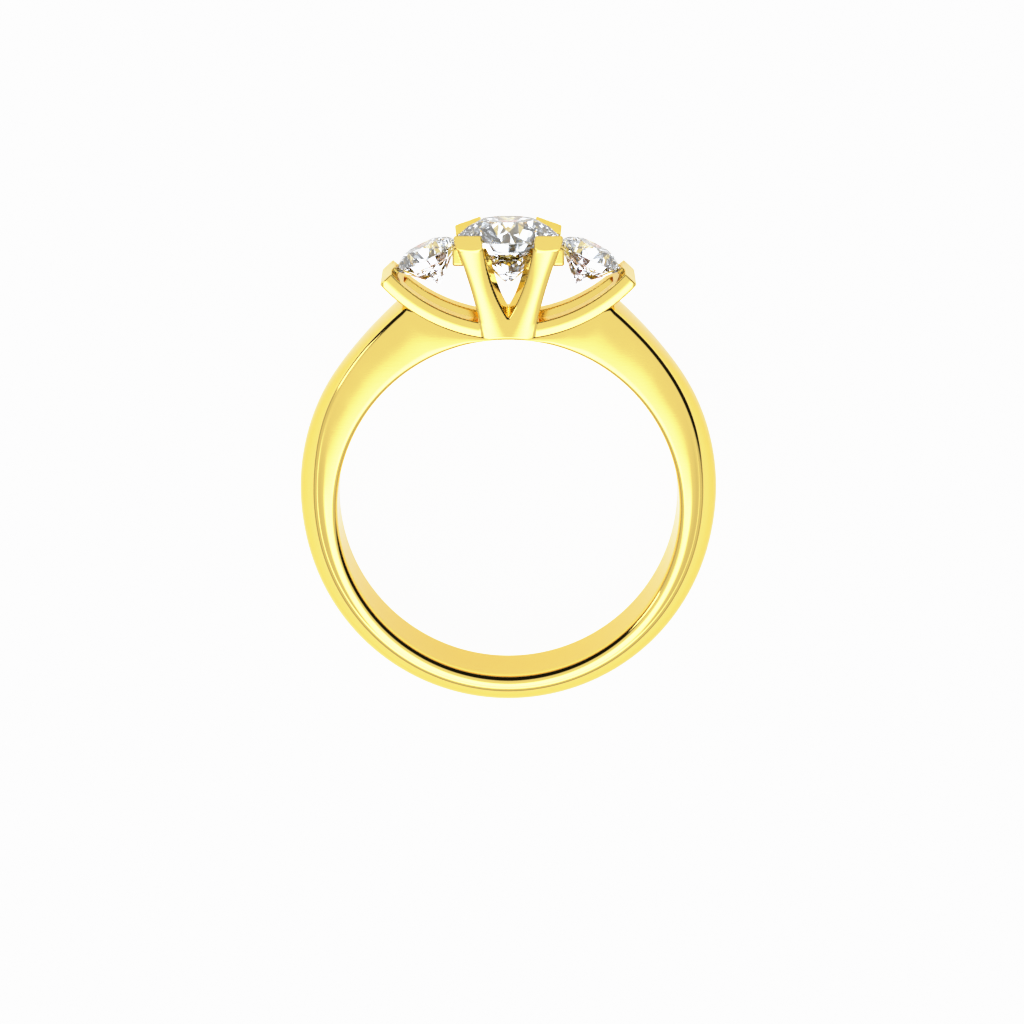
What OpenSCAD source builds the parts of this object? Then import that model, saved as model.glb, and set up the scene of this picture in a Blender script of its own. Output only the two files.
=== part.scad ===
// Three-stone ring: a domed gold band with a V-claw head, a round centre stone and two round
// side stones that lean outwards. The axis of the finger hole is Z and the stones point to +Y.

/* [Band] */
// Diameter of the finger hole
bore_d = 17; // [15.5:0.1:20]
// Width of the band along the finger
band_w = 4.9; // [4.5:0.1:5]
// Extra height of the band over its whole way round
band_extra = 0; // [0:0.05:0.4]

/* [Gallery rails] */
// Radius of the rails' lower edge, which touches the finger hole at the top
rail_outer_r = 8.6; // [8.2:0.1:9.2]
// Thickness of the rails from lower to upper edge
rail_thick = 0.78; // [0.6:0.02:0.9]
// Depth of each rail from front to back
rail_depth = 1.1; // [0.9:0.05:1.3]
// Distance between the outer faces of the two rails
rail_span = 4.2; // [4.1:0.05:4.4]
// Angle of each rail end from the middle of the ring
rail_end_angle = 47.5; // [46:0.5:49]

/* [V claws] */
// Distance between the outer faces of the front and back V
claw_span = 5.1; // [5.04:0.02:5.3]
// Thickness of each V from front to back
claw_depth = 1.1; // [0.9:0.05:1.3]
// Width of a claw tip across the ring
tip_w = 1.48; // [1.44:0.01:1.52]
// Reach of a claw tip along the finger
tip_reach = 1.2; // [1.1:0.05:1.3]

/* [Stones] */
// Diameter of the centre stone
centre_d = 5; // [4.9:0.02:5.06]
// Height of the centre stone's table above the finger hole
centre_table_h = 5.65; // [5.6:0.01:5.7]
// Diameter of each side stone
side_d = 3.4; // [3.2:0.02:3.42]
// Outward lean of the side stones
side_lean = 26.5; // [25:0.5:28]
// Angle of the crown facets
crown_angle = 34.5; // [32:0.5:36]
// Angle of the pavilion facets
pavilion_angle = 43.5; // [40:0.5:44]
// Gap between a stone and the metal that holds it
seat_gap = 0.03; // [0.02:0.01:0.05]

/* [Hidden] */
$fn = 96;
gold = "#F2D35C";
white_stone = "#EEF3F7";

bore_r = bore_d / 2;
// The rails dip into the finger hole by this much and are bored out with it
rail_sink = 0.05;
rail_centre_y = bore_r + rail_outer_r - rail_sink;
rail_inner_r = rail_outer_r - rail_thick;
// The rails are let into the shank by this much, so that the two are one solid
solder_depth = 0.05;
// Cutters and halves reach past the metal by this much
overlap = 0.02;

// Band: angle from the bottom of the ring, height of the flat side, height of the crest
band_rows = [
    [0, 0.58, 1.58],
    [45, 0.68, 1.66],
    [80, 0.90, 1.80],
    [100, 1.14, 2.00],
    [120, 1.60, 2.24],
    [135, 2.00, 2.38],
    [145, 2.38, 2.60],
    [153, 2.78, 2.88],
    [160, 3.10, 3.16],
    [180, 3.10, 3.16]
];
band_sections = 90;
dome_steps = 10;
// The dome meets the flat sides at an edge: it leaves out this first part of its half turn
dome_start = 25;
// The band is built this much inside the finger hole and then bored out
bore_stock = 0.4;
band_inner_r = bore_r - bore_stock;

// V claws: points of one leg, x across the ring and height above the finger hole
leg_outer = [[1.18, -0.2], [1.62, 1.84], [2.48, 4.52]];
leg_inner = [[0.06, 1.02], [0.86, 2.80], [1.24, 4.52]];
leg_steps = 9;
notch_foot = 0.06;
block_top_h = 0.95;
block_inset = 0.2;

// Claw tips: outer side, underside and its slope, foot and lean of the filed outer face, then
// height of the top at the outer corner, its falls outwards and towards the stone, and its end
tip_outer_x = 2.72;
tip_under_h = 4.2;
tip_flare = 0.3;
tip_face_h = 4.55;
tip_face_lean = 18;
tip_top_h = 5.11;
tip_fall_out = 7;
tip_fall_in = 15;
tip_inner_r = 2.3;

// Cross bars beside the centre stone
bar_outer_x = 2.76;
bar_w = 0.6;
bar_low_h = 3.58;
bar_high_h = 4.50;
bar_half_z = 1.9;

// End bars outside the side stones, and the low lip over the stone's girdle
end_bar_angle = 6.2;
end_lip_rise = 0.2;
end_lip_angle = 2.8;
end_lip_half_z = 0.9;

// The rail ends are rounded in plan
rail_corner_r = 0.9;
rail_half_x = 6.37;

// Brilliant cut: widths as parts of the stone's diameter
centre_table = 0.53;
side_table = 0.57;
girdle_part = 0.022;
star_part = 0.45;
lower_half_part = 0.22;
facet_turn = 45;
half_turn = facet_turn / 2;
girdle_points = 16;

// Side stones: middle of the girdle
side_x = 4.06;
side_h = 3.85;

module left_and_right() {
    children();
    mirror([1, 0, 0]) children();
}

module front_and_back() {
    children();
    mirror([0, 0, 1]) children();
}

function smooth_step(t) = t * t * (3 - 2 * t);

// Slope of a column of the band table at row i
function row_slope(i, col) =
    i == 0 || i == len(band_rows) - 1 ? 0
    : (band_rows[i + 1][col] - band_rows[i - 1][col]) / (band_rows[i + 1][0] - band_rows[i - 1][0]);

function row_below(angle) =
    max([for (i = [0 : len(band_rows) - 2]) if (band_rows[i][0] <= angle) i]);

// Cubic through the band table
function band_height(angle, col) =
    let (i = row_below(angle))
    let (a = band_rows[i], b = band_rows[i + 1])
    let (step = b[0] - a[0], t = (angle - a[0]) / step)
    let (ease = smooth_step(t))
    band_extra + a[col] * (1 - ease) + b[col] * ease
    + step * t * (1 - t) * ((1 - t) * row_slope(i, col) - t * row_slope(i + 1, col));

// One section of the band as [radius, z] points, from the front inner corner round the outside
function band_section(angle) =
    let (side_r = bore_r + band_height(angle, 1), crest_r = bore_r + band_height(angle, 2))
    concat(
        [[band_inner_r, band_w / 2]],
        [for (k = [0 : dome_steps])
            let (turn = dome_start + (180 - 2 * dome_start) * k / dome_steps)
            [side_r + (crest_r - side_r) * (sin(turn) - sin(dome_start)) / (1 - sin(dome_start)),
             band_w / 2 * cos(turn) / cos(dome_start)]],
        [[band_inner_r, -band_w / 2]]
    );

module shank_body() {
    count = dome_steps + 3;
    points = [
        for (i = [0 : band_sections - 1])
            let (turn = 360 * i / band_sections)
            for (p = band_section(turn > 180 ? 360 - turn : turn))
                [p[0] * sin(turn), -p[0] * cos(turn), p[1]]
    ];
    faces = [
        for (i = [0 : band_sections - 1])
            let (j = (i + 1) % band_sections)
            for (k = [0 : count - 1])
                let (l = (k + 1) % count)
                for (f = [[i * count + k, j * count + k, j * count + l],
                          [i * count + k, j * count + l, i * count + l]]) f
    ];
    polyhedron(points, faces);
}

// The band, cut away above the lower edge of the rails
module shank() {
    color(gold)
    difference() {
        shank_body();
        translate([0, rail_centre_y, -band_w])
            cylinder(r = rail_outer_r - solder_depth, h = 2 * band_w);
    }
}

// A slice of a tube about the centre of the rails, open to both sides of the ring's middle
module rail_slice(r_in, r_out, from_angle, to_angle, depth) {
    reach = 2 * rail_outer_r;
    translate([0, rail_centre_y, 0])
        intersection() {
            difference() {
                cylinder(r = r_out, h = depth);
                translate([0, 0, -depth])
                    cylinder(r = r_in, h = 3 * depth);
            }
            linear_extrude(height = depth)
                polygon([
                    [0, 0],
                    reach * [sin(from_angle), -cos(from_angle)],
                    [0, -2 * reach],
                    reach * [sin(to_angle), -cos(to_angle)]
                ]);
        }
}

// Plan of both rails together, upright on the finger hole
module rail_plan() {
    translate([0, rail_centre_y, 0])
        rotate([90, 0, 0])
            linear_extrude(height = 2 * rail_outer_r)
                offset(rail_corner_r)
                    square([2 * (rail_half_x - rail_corner_r), rail_span - 2 * rail_corner_r],
                           center = true);
}

module gallery_rails() {
    color(gold)
    intersection() {
        front_and_back()
            translate([0, 0, rail_span / 2 - rail_depth])
                rail_slice(rail_inner_r, rail_outer_r, -rail_end_angle, rail_end_angle, rail_depth);
        rail_plan();
    }
}

// A bar along the finger at the end of the rails
module end_bar(r_in, angle, half_z) {
    translate([0, 0, -half_z])
        rail_slice(r_in, rail_outer_r, rail_end_angle - angle, rail_end_angle, 2 * half_z);
}

// The end bars, with a low lip over the side stones' girdles
module end_bars() {
    color(gold)
    left_and_right()
        intersection() {
            union() {
                end_bar(rail_inner_r, end_bar_angle, bar_half_z);
                end_bar(rail_inner_r - end_lip_rise, end_lip_angle, end_lip_half_z);
            }
            rail_plan();
        }
}

// Points on the circle through three points, from the first to the last
function circle_middle(p, q, r) =
    let (d = 2 * (p[0] * (q[1] - r[1]) + q[0] * (r[1] - p[1]) + r[0] * (p[1] - q[1])))
    let (pp = p * p, qq = q * q, rr = r * r)
    [(pp * (q[1] - r[1]) + qq * (r[1] - p[1]) + rr * (p[1] - q[1])) / d,
     (pp * (r[0] - q[0]) + qq * (p[0] - r[0]) + rr * (q[0] - p[0])) / d];

function arc_through(p, q, r, steps) =
    let (c = circle_middle(p, q, r))
    let (radius = norm(p - c))
    let (from_angle = atan2(p[1] - c[1], p[0] - c[0]), to_angle = atan2(r[1] - c[1], r[0] - c[0]))
    let (sweep = (to_angle - from_angle + 540) % 360 - 180)
    [for (i = [0 : steps])
        let (a = from_angle + sweep * i / steps)
        c + radius * [cos(a), sin(a)]];

// One leg of a V in the plane of the ring, right side
module leg_outline() {
    outer = arc_through(leg_outer[0], leg_outer[1], leg_outer[2], leg_steps);
    inner = arc_through(leg_inner[2], leg_inner[1], leg_inner[0], leg_steps);
    translate([0, bore_r])
        polygon(concat([[-overlap, leg_outer[0][1]]], outer, inner,
                       [[-overlap, leg_inner[0][1] - notch_foot]]));
}

module v_claws() {
    color(gold)
    left_and_right() front_and_back()
        translate([0, 0, claw_span / 2 - claw_depth])
            linear_extrude(height = claw_depth)
                leg_outline();
}

// The foot of both Vs, solid from front to back
module base_block() {
    color(gold)
    translate([0, 0, -claw_span / 2 + block_inset])
        linear_extrude(height = claw_span - 2 * block_inset)
            intersection() {
                union() {
                    leg_outline();
                    mirror([1, 0]) leg_outline();
                }
                translate([-leg_outer[1][0], bore_r + leg_outer[0][1]])
                    square([2 * leg_outer[1][0], block_top_h - leg_outer[0][1]]);
            }
}

// A claw tip: a small block over the girdle, filed flat outside and burnished down to the stone
module claw_tips() {
    color(gold)
    left_and_right() front_and_back()
        difference() {
            translate([tip_outer_x, bore_r, claw_span / 2 - tip_reach])
                linear_extrude(height = tip_reach)
                    polygon([
                        [-tip_w, tip_under_h],
                        [-tip_flare, tip_under_h],
                        [0, tip_under_h + tip_flare],
                        [0, centre_table_h],
                        [-tip_w, centre_table_h]
                    ]);
            translate([tip_outer_x, bore_r + tip_face_h, claw_span / 2])
                rotate([-tip_face_lean, 0, 0])
                    translate([-2 * tip_w, -tip_reach, 0])
                        cube([4 * tip_w, 4 * tip_reach, tip_reach]);
            translate([tip_outer_x, bore_r + tip_top_h, claw_span / 2])
                rotate([-tip_fall_in, 0, -tip_fall_out])
                    translate([-3 * tip_w, 0, -3 * tip_reach])
                        cube([4 * tip_w, centre_table_h, 4 * tip_reach]);
            translate([0, bore_r, 0])
                rotate([-90, 0, 0])
                    cylinder(r = tip_inner_r, h = 2 * centre_table_h);
        }
}

// Bars from V to V beside the centre stone
module cross_bars() {
    color(gold)
    left_and_right()
        translate([bar_outer_x - bar_w, bore_r + bar_low_h, -bar_half_z])
            cube([bar_w, bar_high_h - bar_low_h, 2 * bar_half_z]);
}

// Heights of a stone of the given width, from the middle of its girdle
function crown_h(d, table) = d / 2 * (1 - table) * tan(crown_angle);
function girdle_h(d) = d * girdle_part;
function culet_h(d) = d / 2 * tan(pavilion_angle);

// Lower corners of the star facets and upper corners of the pavilion's main facets
function star_r(d, table) = d / 2 * (table + (1 - table) * star_part) / cos(half_turn);
function star_h(d, table) =
    crown_h(d, table) - (star_r(d, table) * cos(half_turn) - d / 2 * table) * tan(crown_angle);
function low_r(d) = d / 2 * lower_half_part;
function low_h(d) = culet_h(d) - low_r(d) * cos(half_turn) * tan(pavilion_angle);

// A ring of points round a stone's axis, which is Z
function stone_ring(count, first, r, z) =
    [for (i = [0 : count - 1])
        let (a = first + 360 * i / count) [r * cos(a), r * sin(a), z]];

// Round brilliant: table, 8 stars, 8 bezels, 16 upper and 16 lower halves, 8 mains, girdle
module brilliant(d, table) {
    girdle = girdle_h(d) / 2;
    points = concat(
        stone_ring(8, 0, d / 2 * table, crown_h(d, table) + girdle),
        stone_ring(8, half_turn, star_r(d, table), star_h(d, table) + girdle),
        stone_ring(girdle_points, 0, d / 2, girdle),
        stone_ring(girdle_points, 0, d / 2, -girdle),
        stone_ring(8, half_turn, low_r(d), -low_h(d) - girdle),
        [[0, 0, -culet_h(d) - girdle]]
    );
    star = 8;
    upper = 16;
    lower = upper + girdle_points;
    low = lower + girdle_points;
    culet = low + 8;
    faces = concat(
        [[for (i = [7 : -1 : 0]) i]],
        [for (i = [0 : 7])
            let (j = (i + 1) % 8, h = (i + 7) % 8, g = 2 * i, n = (2 * i + 2) % girdle_points)
            for (f = [
                [i, j, star + i],
                [i, star + i, upper + g, star + h],
                [star + i, upper + g + 1, upper + g],
                [star + i, upper + n, upper + g + 1],
                [upper + g, upper + g + 1, lower + g + 1, lower + g],
                [upper + g + 1, upper + n, lower + n, lower + g + 1],
                [low + i, lower + g, lower + g + 1],
                [low + i, lower + g + 1, lower + n],
                [low + i, culet, low + h, lower + g]
            ]) f]
    );
    polyhedron(points, faces);
}

// The room that a stone takes in the metal, turned on a lathe about its axis
module stone_seat(d, table) {
    r = d / 2 + seat_gap;
    top = girdle_h(d) / 2 + seat_gap;
    rotate_extrude()
        polygon([
            [0, -culet_h(d) - top],
            [low_r(d), -low_h(d) - top],
            [r, -top],
            [r, top],
            [star_r(d, table), star_h(d, table) + top],
            [d / 2 * table, crown_h(d, table) + top],
            [0, crown_h(d, table) + top]
        ]);
}

centre_girdle_y = bore_r + centre_table_h - crown_h(centre_d, centre_table) - girdle_h(centre_d) / 2;

module place_centre() {
    translate([0, centre_girdle_y, 0])
        rotate([-90, 0, 0]) children();
}

module place_side() {
    translate([side_x, bore_r + side_h, 0])
        rotate([0, 0, -side_lean])
            rotate([-90, 0, 0]) children();
}

module centre_stone() {
    color(white_stone)
    place_centre() rotate([0, 0, half_turn]) brilliant(centre_d, centre_table);
}

module side_stone_right() {
    color(white_stone)
    place_side() brilliant(side_d, side_table);
}

module side_stone_left() {
    color(white_stone)
    mirror([1, 0, 0]) place_side() brilliant(side_d, side_table);
}

module finger_bore() {
    translate([0, 0, -band_w])
        cylinder(d = bore_d, h = 2 * band_w, $fn = 192);
}

module ring_mount() {
    difference() {
        union() {
            shank();
            gallery_rails();
            end_bars();
            base_block();
            v_claws();
            claw_tips();
            cross_bars();
        }
        finger_bore();
        place_centre() stone_seat(centre_d, centre_table);
        left_and_right() place_side() stone_seat(side_d, side_table);
    }
}

ring_mount();
centre_stone();
side_stone_left();
side_stone_right();
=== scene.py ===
import logging
from dataclasses import dataclass
from enum import Enum
from math import cos, hypot, pi, radians, sin, tan, tau
from typing import Any, Mapping, Sequence

import bmesh
import bpy
import numpy as np
from bpy.types import CurveMapping, Material, Mesh, Node, NodeSocket, NodeTree, Object
from mathutils import Matrix, Vector


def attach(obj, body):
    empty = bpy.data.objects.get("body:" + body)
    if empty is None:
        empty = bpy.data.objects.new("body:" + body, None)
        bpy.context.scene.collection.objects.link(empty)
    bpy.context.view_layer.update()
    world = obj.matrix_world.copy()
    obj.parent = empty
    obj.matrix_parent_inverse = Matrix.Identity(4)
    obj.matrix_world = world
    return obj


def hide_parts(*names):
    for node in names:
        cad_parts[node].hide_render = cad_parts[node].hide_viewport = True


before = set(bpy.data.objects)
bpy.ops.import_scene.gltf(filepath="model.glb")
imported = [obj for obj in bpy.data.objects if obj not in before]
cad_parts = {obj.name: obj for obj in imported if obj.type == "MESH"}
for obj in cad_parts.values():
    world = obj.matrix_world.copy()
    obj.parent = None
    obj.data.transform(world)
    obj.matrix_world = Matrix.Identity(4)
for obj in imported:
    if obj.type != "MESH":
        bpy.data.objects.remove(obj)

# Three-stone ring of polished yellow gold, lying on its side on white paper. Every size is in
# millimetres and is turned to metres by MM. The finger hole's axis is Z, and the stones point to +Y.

MM = 0.001
TINY = 1e-6
BODY = "root"
LOG = logging.getLogger("ring")
Array = np.ndarray
Pair = tuple[float, float]
Triple = tuple[float, float, float]

# Node and settings behind each sign and word of the rules
WORDS: dict[str, tuple[str, dict[str, Any]]] = {
    "clamp": ("ShaderNodeClamp", {}),
    "ramp": ("ShaderNodeMapRange", {}),
    "soft": ("ShaderNodeMapRange", {"interpolation_type": "SMOOTHSTEP"}),
    **{word: ("ShaderNodeMath", {"operation": operation}) for word, operation in {
        "+": "ADD", "-": "SUBTRACT", "*": "MULTIPLY", "/": "DIVIDE", "^": "POWER",
        "<": "LESS_THAN", ">": "GREATER_THAN", "min": "MINIMUM", "max": "MAXIMUM",
        "atan2": "ARCTAN2", "abs": "ABSOLUTE", "sqrt": "SQRT", "sign": "SIGN", "sin": "SINE",
        "cos": "COSINE", "tan": "TANGENT"}.items()}}


def hex_to_linear(code: str) -> tuple[float, float, float, float]:
    """Turn an sRGB hex colour into linear RGBA.

    Args:
        code: The colour as "#RRGGBB".

    Returns:
        Linear red, green and blue, and an alpha of 1.
    """
    parts = [int(code[i:i + 2], 16) / 255 for i in (1, 3, 5)]
    linear = [c / 12.92 if c <= 0.04045 else ((c + 0.055) / 1.055) ** 2.4 for c in parts]
    return (*linear, 1.0)


def add_node(tree: NodeTree, kind: str, inputs: Mapping[Any, Any] | Sequence[Any] = (),
             **settings: Any) -> Node:
    """Add a node to a tree, with its settings and its inputs.

    Args:
        tree: The node tree.
        kind: The node's type, such as "ShaderNodeMath".
        inputs: Values, sockets or nodes for its inputs, in their order or by name. A node
            stands for its first output.
        settings: The node's own properties.

    Returns:
        The new node.
    """
    node = tree.nodes.new(kind)
    for name, value in settings.items():
        setattr(node, name, value)
    for key, value in (inputs.items() if isinstance(inputs, Mapping) else enumerate(inputs)):
        if isinstance(value, Node):
            value = value.outputs[0]
        if isinstance(value, NodeSocket):
            tree.links.new(value, node.inputs[key])
        else:
            node.inputs[key].default_value = value
    return node


def run_rules(tree: NodeTree, known: dict[str, Any], rules: str) -> None:
    """Add the nodes that work out a set of rules.

    A line such as "h = sin a * b + c sqrt" is worked from left to right, as on a pocket
    calculator. The line "h = a ramp b c d e" takes a from the range of b to c into the range of
    d to e, or into 0 to 1 without these, and "soft" does the same with soft ends.

    Args:
        tree: The node tree.
        known: Numbers, sockets and nodes by name, to which each line adds its result.
        rules: The lines, and comments that start with "#".
    """
    for line in rules.strip().splitlines():
        if line.startswith("#"):
            continue
        name, _, *words = line.split()
        sign, terms = None, []
        for word in (*words, None):
            if word is not None and word not in WORDS:
                terms.append(known[word] if word in known else float(word))
                continue
            if sign:
                kind, settings = WORDS[sign]
                terms = [add_node(tree, kind, terms, **settings)]
            sign = word
        known[name] = terms[0]


def fill_curve(mapping: CurveMapping, index: int, spots: Sequence[Pair]) -> None:
    """Lay a curve through its points.

    Args:
        mapping: The mapping that holds the curve.
        index: The curve's place in the mapping.
        spots: The curve's points, from 0 to 1.
    """
    points = mapping.curves[index].points
    points[0].location, points[-1].location = spots[0], spots[-1]
    for spot in spots[1:-1]:
        points.new(*spot)
    mapping.update()


def new_material(name: str) -> tuple[Material, NodeTree, NodeSocket]:
    """Make a material whose tree holds nothing but the place on the piece.

    Args:
        name: The material's name.

    Returns:
        The material, its node tree and the place, in Object coordinates.
    """
    material = bpy.data.materials.new(name)
    material.use_nodes = True
    tree = material.node_tree
    tree.nodes.clear()
    return material, tree, add_node(tree, "ShaderNodeTexCoord").outputs["Object"]


def add_piece(mesh: Mesh, name: str, node: str) -> Object:
    """Put a mesh into the scene as a piece of the ring that stands for a CAD node.

    Args:
        mesh: The finished mesh, in metres.
        name: The piece's name.
        node: The CAD node that it stands for.

    Returns:
        The piece.
    """
    mesh.name = name
    piece = bpy.data.objects.new(name, mesh)
    bpy.context.scene.collection.objects.link(piece)
    bpy.context.view_layer.update()
    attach(piece, BODY)
    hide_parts(node)
    triangles = sum(len(face.vertices) - 2 for face in mesh.polygons)
    LOG.info("%s: %d triangles, stands for %s", name, triangles, node)
    return piece


@dataclass(frozen=True)
class PolishedGold:
    """Eighteen-carat yellow gold, cast, filed and buffed with a polishing wheel."""

    colour: str = "#F7D876"
    grazing: str = "#FBEBBE"
    # Size in millimetres and detail of the smears, the scratches and the swell of the surface
    smear: Pair = (1.4, 3.0)
    scratch: Pair = (0.05, 2.0)
    swell: Pair = (2.2, 0.0)
    smear_span: Pair = (0.35, 0.7)
    roughness: Pair = (0.04, 0.09)
    scratch_turn: Triple = (0.3, 0.2, 0.9)
    scratch_stretch: float = 9.0
    scratch_depth_mm: float = 0.0003
    swell_depth_mm: float = 0.004

    def material(self) -> Material:
        """Make the material: a mirror with soft smears of the wheel and hair-fine scratches.

        Returns:
            The material.
        """
        material, tree, place = new_material("polished_yellow_gold")
        along = add_node(tree, "ShaderNodeMapping", {
            "Vector": place, "Rotation": self.scratch_turn, "Scale": (1 / self.scratch_stretch, 1, 1)})
        smear, scratch, swell = (
            add_node(tree, "ShaderNodeTexNoise", {
                "Vector": vector, "Scale": 1 / (size * MM), "Detail": detail})
            for vector, (size, detail) in (
                (place, self.smear), (along, self.scratch), (place, self.swell)))
        gloss = add_node(tree, "ShaderNodeMapRange", [smear, *self.smear_span, *self.roughness])
        surface: dict[str, Node] = {}
        for height, depth in ((swell, self.swell_depth_mm), (scratch, self.scratch_depth_mm)):
            surface = {"Normal": add_node(tree, "ShaderNodeBump", {
                "Height": height, "Distance": depth * MM, **surface})}
        gold = add_node(tree, "ShaderNodeBsdfPrincipled", {
            "Base Color": hex_to_linear(self.colour), "Metallic": 1.0,
            "Specular Tint": hex_to_linear(self.grazing), "Roughness": gloss, **surface})
        add_node(tree, "ShaderNodeOutputMaterial", {"Surface": gold})
        return material


@dataclass(frozen=True)
class WorkedDiamond:
    """White diamond with one way of working its surface: clear, with strong inner reflections."""

    name: str
    colour: str
    roughness: float
    # Size in millimetres, detail and depth of the marks that the work leaves
    marks: Pair
    depth_mm: float
    ior: float = 2.417

    def material(self) -> Material:
        """Make the material: clear stone with the marks of its working.

        Returns:
            The material.
        """
        material, tree, place = new_material(self.name)
        size, detail = self.marks
        marks = add_node(tree, "ShaderNodeTexNoise", {
            "Vector": place, "Scale": 1 / (size * MM), "Detail": detail})
        surface = add_node(tree, "ShaderNodeBump", {"Height": marks, "Distance": self.depth_mm * MM})
        stone = add_node(tree, "ShaderNodeBsdfPrincipled", {
            "Base Color": hex_to_linear(self.colour), "Roughness": self.roughness,
            "IOR": self.ior, "Transmission Weight": 1.0, "Normal": surface})
        add_node(tree, "ShaderNodeOutputMaterial", {"Surface": stone})
        return material


# Facets polished on a lap: as clear as water, with the faintest lines of the lap
POLISHED_DIAMOND = WorkedDiamond("polished_diamond", "#EAF3FF", roughness=0.0,
                                 marks=(0.12, 1.0), depth_mm=0.00002)
# Girdle ground round against another diamond: frosted, with a fine grit
BRUTED_DIAMOND = WorkedDiamond("bruted_diamond", "#F1F3F5", roughness=0.3,
                               marks=(0.03, 2.0), depth_mm=0.002)


@dataclass(frozen=True)
class PalePaper:
    """Smooth white paper on a light table, which shows whiter than it lights the ring.

    The stones see black and white cards in it.
    """

    light: str = "#C6C6C5"
    dark: str = "#C0C0BE"
    # Size in millimetres and detail of the paper's grain and of the cards
    grain: Pair = (0.6, 4.0)
    cards: Pair = (2.0, 1.0)
    card_span: Pair = (0.465, 0.485)
    card_glow: Pair = (0.0, 3.2)
    roughness: float = 0.5
    sheen: float = 0.3
    glow: float = 0.82
    glow_seen: float = 1.5

    def material(self) -> Material:
        """Make the material: matt paper with a soft grain that glows a little.

        Returns:
            The material.
        """
        material, tree, place = new_material("white_paper")
        grain, cards = (
            add_node(tree, "ShaderNodeTexNoise", {
                "Vector": place, "Scale": 1 / (size * MM), "Detail": detail})
            for size, detail in (self.grain, self.cards))
        shade = add_node(tree, "ShaderNodeMix", {
            0: grain, 6: hex_to_linear(self.dark), 7: hex_to_linear(self.light)}, data_type="RGBA")
        card = add_node(tree, "ShaderNodeMapRange", [cards, *self.card_span, *self.card_glow])
        path = add_node(tree, "ShaderNodeLightPath").outputs
        glow = add_node(tree, "ShaderNodeMix", {
            0: path["Is Transmission Ray"], 2: self.glow, 3: card})
        glow = add_node(tree, "ShaderNodeMix", {
            0: path["Is Camera Ray"], 2: glow, 3: self.glow_seen})
        paper = add_node(tree, "ShaderNodeBsdfPrincipled", {
            "Base Color": shade.outputs[2], "Roughness": self.roughness,
            "Specular IOR Level": self.sheen, "Emission Strength": glow})
        add_node(tree, "ShaderNodeOutputMaterial", {"Surface": paper})
        return material


# Turn round the ring, and way over half a section, from a place on a flat grid
BAND_WAY = """
turn = x * tau
part = abs x * 2
way = abs y * -2 + 1
"""

# Place of a point of the band, from its way and the heights at its turn
BAND_SHAPE = """
# Height of the rails' lower edge over the finger hole, beyond which the band is cut
alpha = abs turn * -1 + pi
off = sin alpha * rail_centre
off_2 = off * off
room = rail_radius * rail_radius - off_2
chord = room max 0 sqrt
beyond = room < 0
behind = alpha > quarter
cut = cos alpha * rail_centre - chord + beyond + behind - hole_radius max thinnest
side_whole = side_part * full_height
side_h = side_whole min cut
crest_h = crest_part * full_height min cut
# Rounds shrink where the band runs out under the head
keep = crest_h / thin_from min 1
inner_part = part * -1 * inner_thinning + 1
inner_r = inner_round * keep * inner_part
outer_change = 1 - outer_least
outer_part = cut - side_whole / join_run clamp * outer_change + outer_least
outer_r = outer_round * keep * outer_part
# Slope of the dome where it leaves the flat side
run_in = half_width * start_tan
run_up = crest_h - side_h * start_rise
lean = run_in atan2 run_up
tangent = lean * 0.5 tan * outer_r
run_in_2 = run_in * run_in
run = run_up * run_up + run_in_2 sqrt
dome_low = tangent / run + start
low_sin = sin dome_low
low_cos = cos dome_low
# The five stretches of a section, each from 0 to 1, and how far its rounds have turned
wall = way * wall_gain + wall_from clamp
foot_turn = way * foot_gain + foot_from clamp * quarter
side = way * side_gain + side_from clamp
edge_turn = way * edge_gain + edge_from clamp * lean
dome_run = quarter - dome_low
dome_turn = way * dome_gain + dome_from clamp * dome_run + dome_low
# Distance from the middle of the band
z_wall = half_width - inner_r * wall
edge_in = cos edge_turn * -1 + 1 * outer_r
side_3 = side ^ 3
fall = belly * side_h * side_3
dome_part = cos dome_turn / low_cos
z_side = sin foot_turn * inner_r + z_wall - edge_in - fall
z = sign y * z_side * dome_part
# Height over the finger hole
h_foot = cos foot_turn * -1 + 1 * inner_r
side_end = side_h - tangent
h_side = side_end - inner_r * side + h_foot
h_edge = sin edge_turn * outer_r + h_side
dome_foot = sin lean * outer_r + side_end
dome_rise = crest_h - dome_foot
sin_room = 1 - low_sin
gain = sin dome_turn - low_sin / sin_room
r = dome_rise * gain + h_edge + hole_radius
px = sin turn * r
py = cos turn * r * -1
"""


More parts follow.
